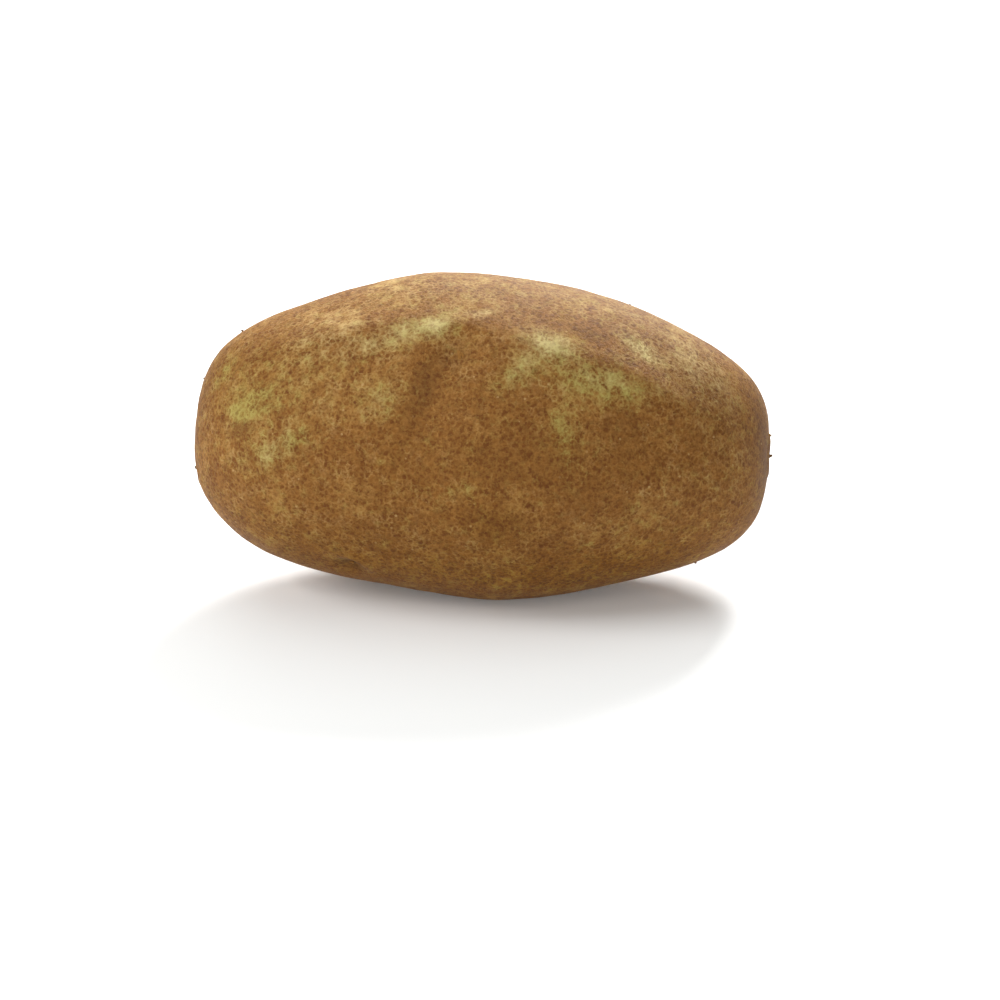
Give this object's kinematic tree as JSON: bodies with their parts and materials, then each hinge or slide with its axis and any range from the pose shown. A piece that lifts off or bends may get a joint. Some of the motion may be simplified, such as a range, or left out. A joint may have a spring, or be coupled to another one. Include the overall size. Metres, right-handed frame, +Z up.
{
  "type": "potato",
  "caption": "Whole raw russet potato with netted brown skin, shallow eyes under low brows and a stem scar, lying on its side on a small flat spot.",
  "frame": {"origin": "below the middle of the tuber's box, at the surface that it lies on", "axes": "+X along the tuber to its stem end, +Y to its far side, away from the face that the picture shows, +Z up"},
  "size_m": [0.1256, 0.066, 0.069],
  "materials": {
    "potato_skin": "dull, finely netted russet skin"
  },
  "bodies": {
    "root": {"potato": "potato_skin"}
  },
  "joints": []
}
